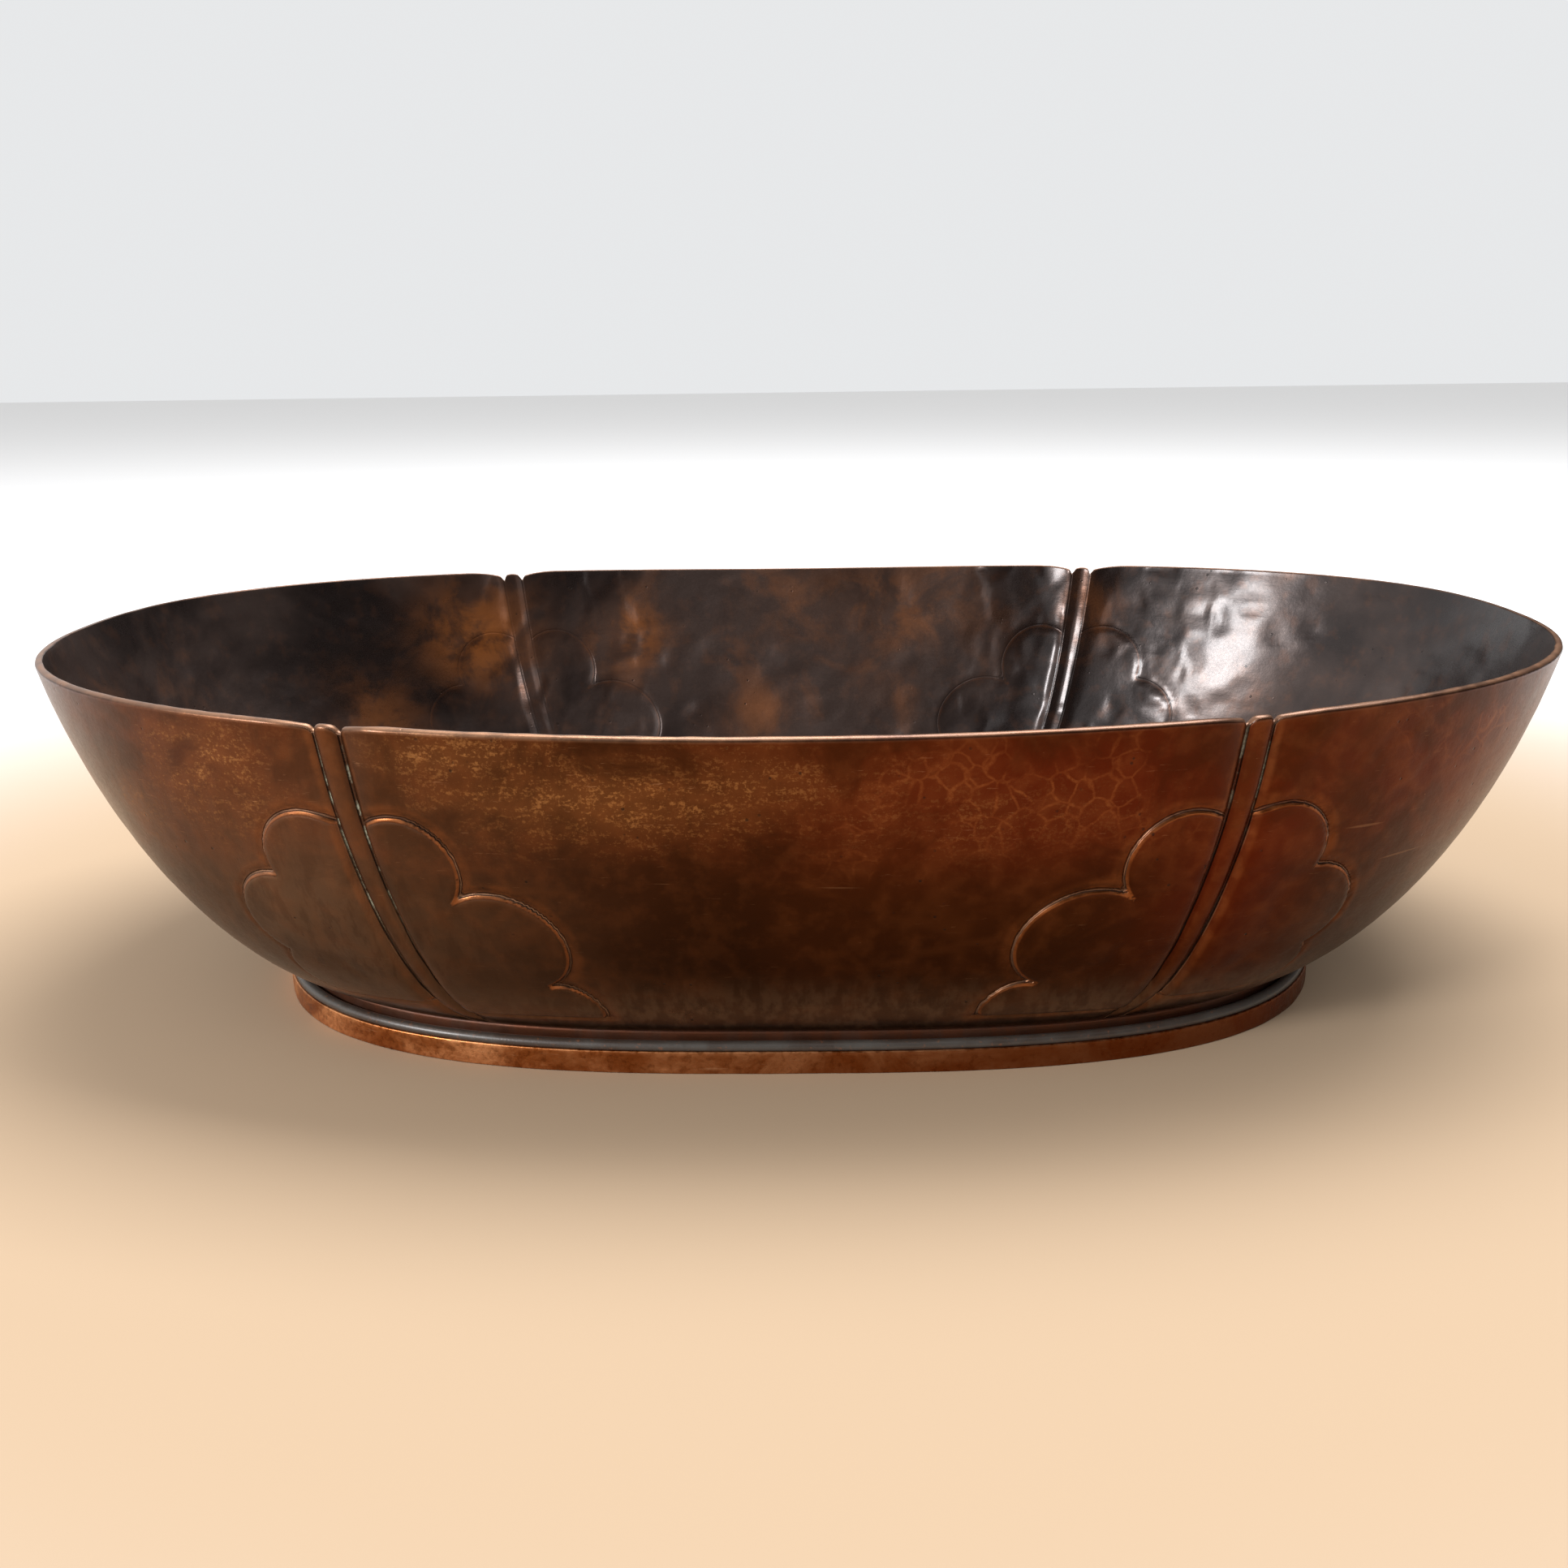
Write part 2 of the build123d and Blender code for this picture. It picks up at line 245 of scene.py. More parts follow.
class Finish:
    """A material under construction: one Principled surface and the nodes that drive it."""

    def __init__(self, name):
        self.material = bpy.data.materials.new(name)
        self.material.use_nodes = True
        self.tree = self.material.node_tree
        self.surface = self.tree.nodes["Principled BSDF"]
        self.spot = self.add("ShaderNodeTexCoord", {}, {}, "Object")

    def add(self, kind, settings, sockets, output=0):
        """Adds a node, sets it, then fills its sockets with values or links. Returns an output."""
        node = self.tree.nodes.new(kind)
        for name, value in settings.items():
            setattr(node, name, value)
        for name, value in sockets.items():
            self.fill(node.inputs[name], value)
        return Varying(self, node.outputs[output])

    def fill(self, socket, value):
        if isinstance(value, Varying):
            self.tree.links.new(value.socket, socket)
        elif socket.type == "RGBA":
            socket.default_value = (*tuple(value)[:3], 1.0)
        else:
            socket.default_value = value

    def mask(self, name):
        """A number painted on the mesh's points when it was made."""
        return self.add("ShaderNodeAttribute", {"attribute_name": name}, {}, "Fac")

    def stretched(self, scale, turn=(0.0, 0.0, 0.0)):
        return self.add("ShaderNodeMapping", {}, {"Vector": self.spot, "Scale": scale, "Rotation": turn})

    def grain(self, scale, detail=4.0, roughness=0.6, distortion=0.0, vector=None):
        return self.add("ShaderNodeTexNoise", {"noise_dimensions": "3D"},
                        {"Vector": vector or self.spot, "Scale": scale, "Detail": detail,
                         "Roughness": roughness, "Distortion": distortion})

    def cells(self, scale, feature, vector=None):
        return self.add("ShaderNodeTexVoronoi", {"feature": feature},
                        {"Vector": vector or self.spot, "Scale": scale}, "Distance")

    def mix(self, factor, first, second):
        return self.add("ShaderNodeMix", {"data_type": "RGBA", "clamp_factor": True},
                        {0: factor, 6: first, 7: second}, 2)

    def bumps(self, height, strength, distance, under=None):
        sockets = {"Height": height, "Strength": strength, "Distance": distance}
        if under is not None:
            sockets["Normal"] = under
        return self.add("ShaderNodeBump", {}, sockets)

    def shade(self, **sockets):
        """Fills the Principled surface's sockets, named with _ for spaces."""
        for name, value in sockets.items():
            self.fill(self.surface.inputs[name.replace("_", " ")], value)
        return self.material


# ---- geometry of the wall -------------------------------------------------------------------
def ease(value):
    """Smooth step from 0 to 1."""
    value = np.clip(value, 0.0, 1.0)
    return value * value * (3 - 2 * value)


def cubic(share, curve):
    start, lower, upper, end = curve
    rest = 1 - share
    return start + (end - start) * (3 * rest**2 * share * lower + 3 * rest * share**2 * upper + share**3)


def oval_radius(angle, half_length, half_width, squareness):
    along = np.abs(np.cos(angle) / half_length) ** squareness
    across = np.abs(np.sin(angle) / half_width) ** squareness
    return (along + across) ** (-1 / squareness)


def wall_point(angle, share):
    """Points on the outside of the smooth wall; share runs from the base, 0, to the top, 1."""
    squareness = FOOT_SQUARENESS + (RIM_SQUARENESS - FOOT_SQUARENESS) * share
    radius = oval_radius(angle, cubic(share, ENDS_CURVE), cubic(share, SIDES_CURVE), squareness)
    height = cubic(share, HEIGHT_CURVE) + 0 * radius
    return np.stack([radius * np.cos(angle), radius * np.sin(angle), height], axis=-1)


def rib_angle(share):
    return RIB_ANGLE_RIM + (RIB_ANGLE_BASE - RIB_ANGLE_RIM) * np.maximum(0.0, 1 - share) ** RIB_SWEEP


class WallMap:
    """Distances over the wall: across from the nearest rib, and up from the base."""
    SHARES = np.linspace(0.0, 1.0, 101)
    QUARTER = np.linspace(0.0, math.pi / 2, 541)

    def __init__(self):
        points = wall_point(self.QUARTER[None, :], self.SHARES[:, None])
        across = np.linalg.norm(np.diff(points, axis=1), axis=-1)
        across = np.concatenate([np.zeros((len(self.SHARES), 1)), np.cumsum(across, axis=1)], axis=1)
        for row, share in enumerate(self.SHARES):
            across[row] -= np.interp(rib_angle(share), self.QUARTER, across[row])
        up = np.linalg.norm(np.diff(points, axis=0), axis=-1)
        self.across = across
        self.up = np.concatenate([np.zeros((1, len(self.QUARTER))), np.cumsum(up, axis=0)], axis=0)

    def read(self, table, angle, share):
        quarter = np.arctan2(np.abs(np.sin(angle)), np.abs(np.cos(angle)))
        row = np.clip(share, 0, 1) * (len(self.SHARES) - 1)
        column = quarter / self.QUARTER[-1] * (len(self.QUARTER) - 1)
        low_row = np.minimum(row.astype(int), len(self.SHARES) - 2)
        low_column = np.minimum(column.astype(int), len(self.QUARTER) - 2)
        part_row = row - low_row
        part_column = column - low_column
        lower = table[low_row, low_column] * (1 - part_column) + table[low_row, low_column + 1] * part_column
        upper = (table[low_row + 1, low_column] * (1 - part_column)
                 + table[low_row + 1, low_column + 1] * part_column)
        return lower * (1 - part_row) + upper * part_row

    def places(self, angle, share):
        """Millimetres across, plus towards the long side and minus towards the end, and up."""
        angle, share = np.broadcast_arrays(angle, share)
        return self.read(self.across, angle, share), self.read(self.up, angle, share)


# Each group of lobes is a union of ovals beside its rib: across, up, half width, half height.
# The last two of each group fill the space behind the scallops.
SIDE_LOBES = ((8.8, 42.3, 10.4, 10.2), (22.3, 26.0, 12.3, 10.8), (28.6, 10.4, 5.3, 5.5),
              (9.5, 22.0, 8.5, 20.0), (13.0, 13.0, 14.5, 11.0))
END_LOBES = ((9.5, 43.4, 10.7, 10.2), (21.4, 30.4, 10.6, 10.2), (19.5, 17.6, 9.3, 7.8),
             (8.5, 27.0, 9.0, 20.0), (9.0, 14.5, 12.0, 8.0))
SIDE_BASE_LINE = 6.8
END_BASE_LINE = 9.4
# As drawn, no two groups are quite as wide: front left, front right, back left, back right
SIDE_SPREADS = (0.925, 0.965, 0.95, 0.935)
END_SPREADS = (1.0, 0.985, 0.97, 1.0)


def group_spread(angle, spreads):
    """How wide the nearest group of lobes was drawn."""
    left = np.cos(angle) < 0
    front = np.sin(angle) < 0
    return np.where(front, np.where(left, spreads[0], spreads[1]), np.where(left, spreads[2], spreads[3]))


def lobe_distance(angle, across, up, rib_half):
    """Distance outside the lobes' outline, negative inside it."""
    nearest = np.full(across.shape, FAR_OFF)
    for lobes, way, base_line, spreads in ((SIDE_LOBES, 1, SIDE_BASE_LINE, SIDE_SPREADS),
                                           (END_LOBES, -1, END_BASE_LINE, END_SPREADS)):
        group = np.full(across.shape, FAR_OFF)
        run_from_rib = across * way / group_spread(angle, spreads)
        for centre_across, centre_up, half_width, half_height in lobes:
            x = run_from_rib - centre_across
            y = up - centre_up
            size = np.hypot(x / half_width, y / half_height) + 1e-6
            slope = np.hypot(x / half_width**2, y / half_height**2) + 1e-6 / half_width
            group = np.minimum(group, size * (size - 1) / slope)
        group = np.maximum(group, base_line - up)
        nearest = np.minimum(nearest, np.where(across * way < rib_half, FAR_OFF, group))
    return nearest


def rim_drop(across, shape):
    """How far the rim falls beside a rib, and rises again over it."""
    half = shape.rib_width_rim / 2
    beside = np.abs(across) - half
    run_out = np.clip(beside / shape.notch_reach, 0, 1)
    tongue = np.clip(1 - (across / half) ** 2, 0, 1) ** 0.6
    cleft = shape.cleft * np.exp(-((beside - 0.15) / 0.55) ** 2)
    return shape.notch_depth * (1 - run_out) ** ROLL_FALL - shape.tongue * tongue + cleft


def chased_relief(angle, across, up, share, shape):
    """Outward relief, and the distances outside the nearest rib's edge and lobe's outline."""
    half = (shape.rib_width_base + (shape.rib_width_rim - shape.rib_width_base) * share) / 2
    near_rim = ease((share - 0.70) / 0.30) ** 1.5
    depth = shape.roll_wall + (shape.roll_rim - shape.roll_wall) * near_rim
    reach = ROLL_REACH + (shape.notch_reach - ROLL_REACH) * near_rim
    beside = np.abs(across) - half
    run_out = np.clip((beside - 0.2) / reach, 0, 1)
    crown = np.minimum(depth - 0.12, 1.0) * np.clip(1 - (across / half) ** 2, 0, 1) ** 0.5
    relief = np.where(beside < 0, crown - depth, -depth * (1 - run_out) ** ROLL_FALL)
    relief -= 0.25 * np.exp(-((beside - 0.12) / 0.4) ** 2)
    away = lobe_distance(angle, across, up, half)
    from_groove = ease(beside / 1.6)
    relief += from_groove * (shape.lobe_rise * ease(0.5 - away / 1.1) + 0.25 * ease(-away / 9.0))
    relief -= from_groove * shape.line_depth * np.exp(-((away - 0.3) / 0.5) ** 2)
    return relief, beside, away


def softened_relief(angle, across, up, share, shape):
    """The same relief as it shows on the other face of the sheet, blurred by its thickness."""
    blur = shape.sheet * 0.7
    steps = ((-blur, 0), (-blur / 2, 0), (0, 0), (blur / 2, 0), (blur, 0), (0, -blur), (0, blur))
    return sum(chased_relief(angle, across + a, up + b, share, shape)[0] for a, b in steps) / len(steps)


def hammer_marks(points, spacing, tilt, seed):
    """Overlapping flat facets: the height of each point, and 1 along the facets' edges."""
    chance = np.random.default_rng(seed)
    cell = np.floor(points / spacing).astype(int)
    names, member = np.unique(cell, axis=0, return_inverse=True)
    member = member.reshape(-1)
    count = np.bincount(member)
    centres = np.stack([np.bincount(member, points[:, axis]) / count for axis in range(3)], axis=-1)
    centres += chance.uniform(-MARK_STRAY, MARK_STRAY, centres.shape) * spacing
    slopes = chance.normal(0, tilt, centres.shape)
    tree = kdtree.KDTree(len(centres))
    for number, centre in enumerate(centres):
        tree.insert(centre, number)
    tree.balance()
    first = np.empty(len(points), int)
    margin = np.empty(len(points))
    for number, point in enumerate(points):
        found = tree.find_n(point, 2)
        first[number] = found[0][1]
        margin[number] = found[1][2] - found[0][2]
    flat = ease(margin / (MARK_EDGE * spacing))
    height = flat * ((points - centres[first]) * slopes[first]).sum(axis=1)
    height += (1 - flat) * tilt * spacing * MARK_RIDGE
    return height, 1 - flat


def slow_waves(points, size, wavelength):
    """Gentle unevenness of hand-raised sheet."""
    return np.array([noise.noise(Vector(point) / wavelength) for point in points]) * size


# Where handling has rubbed the patina thin: angle in degrees, height share, run in millimetres
# along and up, and strength
RUBBED_PATCHES = ((251.0, 0.85, 32.0, 8.0, 1.0), (264.0, 0.88, 26.0, 6.0, 0.65),
                  (218.0, 0.86, 14.0, 10.0, 1.0), (240.0, 0.93, 22.0, 5.0, 0.8),
                  (208.0, 0.75, 10.0, 8.0, 0.5), (286.0, 0.80, 30.0, 7.0, 0.3),
                  (74.0, 0.85, 38.0, 8.0, 0.8), (118.0, 0.80, 26.0, 9.0, 0.6),
                  (8.0, 0.78, 22.0, 10.0, 0.55), (36.0, 0.86, 16.0, 7.0, 0.5),
                  (150.0, 0.82, 18.0, 8.0, 0.5))
WARM_PATCHES = ((136.5, 0.80, 13.0, 13.0, 1.0), (117.0, 0.78, 9.0, 9.0, 0.8), (150.0, 0.55, 12.0, 12.0, 0.5),
                (97.0, 0.5, 10.0, 8.0, 0.35), (75.0, 0.6, 9.0, 8.0, 0.3), (47.0, 0.85, 8.0, 9.0, 0.3),
                (76.0, 0.86, 30.0, 11.0, 0.32), (285.0, 0.7, 16.0, 12.0, 0.7),
                (235.0, 0.6, 12.0, 12.0, 0.6), (330.0, 0.6, 14.0, 12.0, 0.5))
NETTED_PATCHES = ((292.0, 0.86, 30.0, 10.0, 1.0), (331.0, 0.93, 18.0, 7.0, 0.9),
                  (276.0, 0.76, 14.0, 7.0, 0.5), (345.0, 0.8, 20.0, 10.0, 0.5),
                  (110.0, 0.84, 34.0, 10.0, 0.8), (24.0, 0.85, 22.0, 9.0, 0.6),
                  (168.0, 0.85, 20.0, 9.0, 0.6))
RED_PATCHES = ((296.0, 0.84, 46.0, 13.0, 1.0), (312.0, 0.60, 16.0, 26.0, 0.9), (333.0, 0.8, 30.0, 16.0, 0.8),
               (218.0, 0.86, 15.0, 9.0, 0.5), (60.0, 0.6, 60.0, 25.0, 0.8), (165.0, 0.6, 40.0, 20.0, 0.5))
# Patches of painted sheen, for the window's reflection: angle in degrees, height share, run in millimetres
# along and up, and strength
PAINTED_SHEEN_PATCHES = ((222.0, 0.40, 42.0, 34.0, 1.0), (196.0, 0.65, 36.0, 34.0, 0.7), (44.0, 0.5, 40.0, 30.0, 0.7),
                (352.0, 0.5, 22.0, 30.0, 0.7), (110.0, 0.5, 26.0, 22.0, 0.5))
BLOOM_PATCHES = ((229.0, 0.80, 9.0, 9.0, 1.0), (229.5, 0.62, 9.0, 7.0, 0.8), (311.0, 0.88, 9.0, 9.0, 0.5),
                 (50.0, 0.7, 12.0, 20.0, 0.8), (131.0, 0.7, 12.0, 20.0, 0.6))


def patches(points, table):
    """The strongest of the patches at each point on the wall."""
    strongest = np.zeros(points.shape[:-1])
    for degrees, share, along, up, strength in table:
        centre = wall_point(np.radians(degrees), np.array(share))
        offset = points - centre
        flat_distance = np.hypot(offset[..., 0], offset[..., 1]) / along
        near = np.exp(-(flat_distance**2 + (offset[..., 2] / up) ** 2))
        strongest = np.maximum(strongest, strength * near)
    return strongest


def column_angles():
    """Angles of the mesh's columns, close together at the ribs and round the lobes."""
    angle = np.linspace(0, 2 * math.pi, 8001)
    points = wall_point(angle, np.full(angle.shape, COLUMN_LEVEL))
    step = np.linalg.norm(np.diff(points, axis=0), axis=-1)
    middle = (angle[1:] + angle[:-1]) / 2
    across, _ = WallMap().places(middle, np.full(middle.shape, COLUMN_LEVEL))
    distance = np.abs(across)
    spacing = (RIB_COLUMN + LOBE_COLUMN * ease((distance - 5) / 4)
               + PLAIN_COLUMN * ease((distance - 34) / 12))
    travelled = np.concatenate([[0], np.cumsum(step / spacing)])
    total = int(round(travelled[-1] / 4)) * 4
    return np.interp(np.arange(total) * travelled[-1] / total, travelled, angle)


def make_piece(name, points, faces, masks, material):
    """A smooth piece from points in millimetres, with its masks painted on them."""
    mesh = bpy.data.meshes.new(name)
    mesh.from_pydata((points * MM).tolist(), [], faces)
    for key, value in masks.items():
        mesh.attributes.new(key, "FLOAT", "POINT").data.foreach_set("value", value.astype(np.float32))
    mesh.materials.append(material)
    mesh.shade_smooth()
    mesh.validate()
    piece = bpy.data.objects.new(name, mesh)
    bpy.context.collection.objects.link(piece)
    return piece


def make_skin(name, rings, masks, material):
    """One closed skin through a stack of rings, with a cap on each end of the stack."""
    ring_count, columns = len(rings), len(rings[0])
    points = np.concatenate([np.asarray(ring) for ring in rings])
    values = {key: np.concatenate(list(stack)) for key, stack in masks.items()}
    faces = []
    for ring in range(ring_count - 1):
        for column in range(columns):
            after = (column + 1) % columns
            low, high = ring * columns, (ring + 1) * columns
            faces.append((low + column, low + after, high + after, high + column))
    first_centre = len(points)
    points = np.concatenate([points, rings[0].mean(axis=0)[None], rings[-1].mean(axis=0)[None]])
    for key, value in values.items():
        values[key] = np.concatenate([value, [value[0], value[-1]]])
    last = (ring_count - 1) * columns
    for column in range(columns):
        after = (column + 1) % columns
        faces.append((after, column, first_centre))
        faces.append((last + column, last + after, first_centre + 1))
    return make_piece(name, points, faces, values, material)


# ---- finishes -------------------------------------------------------------------------------
def patinated_copper(colours):
    """Raised copper: brown patina outside, near-black inside, rubbed and scratched bright, with painted
    sheen, painted reflection and painted shade on the outer wall.
    """
    finish = Finish("Patinated copper")
    inside, rim, low = finish.mask("inside"), finish.mask("rim"), finish.mask("low")
    beside, away = finish.mask("beside"), finish.mask("away")
    rubbed, redness, bloom = finish.mask("rubbed"), finish.mask("redness"), finish.mask("bloom")
    netted, facet_edge = finish.mask("netted"), finish.mask("facet_edge")
    # dull marks the patches of painted sheen; below upper the outer wall gets a painted shade
    dull, upper = finish.mask("dull"), finish.mask("upper")
    outside = 1 - inside

    # Crisp chased lines, from the distance to a rib's edge and to a lobe's outline
    groove = (beside - 0.18).size().step(0.34, 0.08)
    cut = (away - 0.24).size().step(0.30, 0.06)
    lip = (away + 0.24).size().step(0.42, 0.08)
    shoulder = (beside - 1.15).size().step(1.0, 0.1)
    crown = beside.step(-0.3, -0.9)
    glow = (away - 1.3).size().step(1.9, 0.3)

    clouds = finish.grain(17.0, detail=5.0, roughness=0.55, distortion=0.6)
    blotches = finish.grain(62.0, detail=6.0, roughness=0.6, distortion=0.5)
    mottle = finish.grain(240.0, detail=4.0, roughness=0.55)
    speckle = finish.grain(1500.0, detail=4.0, roughness=0.7)
    level = finish.stretched((0.10, 0.10, 1.0), turn=(0.04, -0.03, 0.0))
    brushed = finish.grain(1500.0, detail=4.0, roughness=0.7, vector=level)
    dashes = finish.grain(620.0, detail=5.0, roughness=0.8, distortion=0.3,
                          vector=finish.stretched((0.32, 0.32, 1.0), turn=(0.10, 0.12, 0.0)))
    fall = finish.grain(420.0, detail=3.0, roughness=0.6, vector=finish.stretched((1.0, 1.0, 0.08)))
    askew = finish.stretched((0.05, 0.05, 1.0), turn=(0.45, 0.25, 0.2))
    stray = finish.grain(330.0, detail=2.0, roughness=0.5, vector=askew)
    drift = finish.add("ShaderNodeTexNoise", {"noise_dimensions": "3D"},
                       {"Vector": finish.spot, "Scale": 130.0, "Detail": 3.0}, "Color")
    wandering = finish.add("ShaderNodeVectorMath", {"operation": "MULTIPLY_ADD"},
                           {0: drift, 1: (0.0045, 0.0045, 0.0045), 2: finish.spot}, "Vector")
    web = finish.cells(250.0, "DISTANCE_TO_EDGE", vector=wandering)
    pits = finish.cells(330.0, "F1")

    outer = finish.mix(clouds.step(0.36, 0.64), colours.dark_patina_and_shade, colours.patina)
    # Painted shade: the wall below the upper mask darkens, for the dim room and shadowed floor reflected low
    # down
    outer = finish.mix((1 - upper) * 0.32, outer, colours.dark_patina_and_shade)
    # Painted sheen: the dull patches turn greyer and paler, for the window's reflection
    outer = finish.mix((dull * (0.55 + 0.35 * clouds.step(0.35, 0.65))).clamped(), outer,
                       colours.painted_sheen)
    # The redness patches are red patina; the blotches of red patina on the upper wall paint the lighter side
    # of the reflection that darkens the lower wall
    reddened = redness * (0.35 + 0.65 * clouds.step(0.28, 0.58)) + upper * 0.30 * blotches.step(0.36, 0.60)
    outer = finish.mix(reddened.clamped() * 0.9, outer, colours.red_patina_and_shade)
    outer = finish.mix(blotches.step(0.50, 0.34) * 0.26, outer, colours.dark_patina_and_shade)
    outer = finish.mix(mottle.step(0.45, 0.70) * 0.08, outer, colours.rubbed)
    # Painted reflection: the lowest wall turns greyer and paler in vertical streaks, for the floor reflected
    # in it
    painted_floor_reflection = low.step(0.25, 0.90) * (0.42 + 0.55 * fall.step(0.40, 0.64))
    outer = finish.mix(painted_floor_reflection.clamped(), outer, colours.painted_sheen)
    # Painted reflection: dark vertical streaks through the painted sheen
    outer = finish.mix(dull * fall.step(0.46, 0.62) * 0.30, outer, colours.dark_patina_and_shade)
    inner = finish.mix(clouds.step(0.40, 0.62), colours.inside_dark, colours.inside)
    warm = (blotches.step(0.50, 0.64) * clouds.step(0.50, 0.62)).clamped()
    warm = (warm * 0.14 + redness * inside * (0.25 + 0.85 * blotches.step(0.40, 0.56))).clamped()
    inner = finish.mix(warm * 0.85, inner, colours.inside_rubbed)
    inner = finish.mix(mottle.step(0.50, 0.72) * 0.05, inner, colours.inside_rubbed)
    base = finish.mix(inside, outer, inner)

    gilt = (speckle * 0.5 + dashes * 0.5).step(0.505, 0.60) * blotches.step(0.38, 0.56)
    wear = (rubbed * (0.30 * blotches.step(0.3, 0.6) + gilt)).clamped() * (1 - 0.8 * inside)
    base = finish.mix(wear * 0.80, base, colours.gilt)
    broken = blotches.step(0.44, 0.60) * (0.55 + 0.45 * speckle.step(0.40, 0.58))
    net = (netted * web.step(0.095, 0.010) * broken * outside).clamped()
    base = finish.mix(net * 0.42, base, colours.rubbed)
    raised = (crown * 0.14 + shoulder * 0.26 + lip * 0.75 + glow * 0.26 * outside).clamped()
    raised = (raised * (0.55 + 0.9 * mottle.step(0.38, 0.62)) * (1 - 0.82 * inside)).clamped()
    base = finish.mix(raised * 0.62, base, colours.rubbed)
    # Painted highlight: thin pale lines along the lobes' outlines and beside the ribs, partly handled wear
    pale = (away - 0.12).size().step(0.26, 0.04) * outside * blotches.step(0.36, 0.56)
    pale = pale + (beside - 0.45).size().step(0.22, 0.04) * outside * blotches.step(0.44, 0.60) * 0.6
    base = finish.mix(pale.clamped() * 0.55, base, colours.lip)
    base = finish.mix(facet_edge * 0.10 * outside * blotches.step(0.40, 0.62), base, colours.rubbed)
    hairlines = (brushed.step(0.655, 0.70) * 0.35 + stray.step(0.735, 0.760) * 0.7 + dashes.step(0.70, 0.74))
    base = finish.mix((hairlines * (0.25 + rubbed) * (1 - 0.85 * inside)).clamped() * 0.6, base,
                      colours.bare)

    line = cut * (0.10 + 0.35 * mottle.step(0.36, 0.60))
    dirt = (groove * (0.35 + 0.5 * blotches.step(0.42, 0.56)) + line).clamped() * (1 - 0.78 * inside)
    base = finish.mix((dirt * (0.62 + 0.5 * mottle.step(0.40, 0.60))).clamped(), base, colours.grime_and_shade)
    chalk = (bloom * groove * mottle.step(0.46, 0.56) * (0.5 + speckle.step(0.40, 0.60))).clamped()
    base = finish.mix(chalk * 0.75, base, colours.verdigris)
    pitted = pits.step(0.13, 0.05) * blotches.step(0.52, 0.60)
    base = finish.mix(pitted * 0.7, base, colours.grime_and_shade)
    base = finish.mix((rim * (0.50 + 0.6 * mottle.step(0.36, 0.60))).clamped(), base, colours.rim)

    gloss = 0.235 + 0.10 * clouds.step(0.30, 0.70) + 0.08 * mottle + 0.10 * wear + 0.18 * dirt + 0.4 * chalk
    gloss = gloss + 0.05 * speckle.step(0.40, 0.60) - 0.03 * inside
    metal = (0.95 - 0.40 * inside - 0.30 * dirt - 0.9 * chalk).clamped()
    crisp = (groove + 0.8 * cut) * (1 - 0.8 * inside)
    skin = finish.bumps(1 - crisp + 0.25 * lip * outside, 0.9, 0.00040)
    skin = finish.bumps(brushed * 0.5 + speckle * 0.35 + dashes * 0.4, 0.20, 0.00016, skin)
    skin = finish.bumps(mottle - pitted, 0.28, 0.00030, skin)
    return finish.shade(Base_Color=base, Metallic=metal, Roughness=gloss.clamped(), Normal=skin,
                        Coat_Weight=(0.05 + 0.27 * inside + 0.14 * dull - 0.1 * chalk).clamped(),
                        Coat_Roughness=0.16, Coat_IOR=1.5)


def bright_copper(colours):
    """The foot's band: planished copper, handled bright, with duller patches and fine scratches, painted
    shade towards its right end and on its under faces.
    """
    finish = Finish("Bright copper")
    edge = finish.mask("edge")
    patches_seen = finish.grain(46.0, detail=5.0, roughness=0.65, distortion=0.7)
    speckle = finish.grain(700.0, detail=3.0, roughness=0.65)
    level = finish.stretched((0.08, 0.08, 1.0))
    scratches = finish.grain(1300.0, detail=4.0, roughness=0.75, vector=level)
    stains = finish.cells(240.0, "F1")
    base = finish.mix(patches_seen.step(0.38, 0.62), colours.band_dull, colours.band)
    base = finish.mix(scratches.step(0.60, 0.74) * 0.5, base, colours.bare)
    base = finish.mix((speckle.step(0.46, 0.34) * 0.25 + stains.step(0.12, 0.04) * 0.3).clamped(), base,
                      colours.patina)
    # Painted shade: the band turns darker and redder towards its right end, where it reflects less light
    along = finish.add("ShaderNodeSeparateXYZ", {}, {"Vector": finish.spot}, "X")
    base = finish.mix(along.step(-0.10, 0.09) * (0.60 + 0.25 * patches_seen), base, colours.red_patina_and_shade)
    base = finish.mix(edge * 0.16 * speckle.step(0.40, 0.60), base, colours.bare)
    # Painted shade on the band's bottom and inner faces
    base = finish.mix(finish.mask("under"), base, colours.dark_patina_and_shade)
    gloss = (0.26 + 0.18 * patches_seen.step(0.35, 0.65) + 0.14 * speckle.step(0.40, 0.60)).clamped()
    skin = finish.bumps(scratches, 0.18, 0.0002)
    skin = finish.bumps(speckle * 0.6 + patches_seen, 0.22, 0.0005, skin)
    return finish.shade(Base_Color=base, Metallic=1.0, Roughness=gloss, Normal=skin)


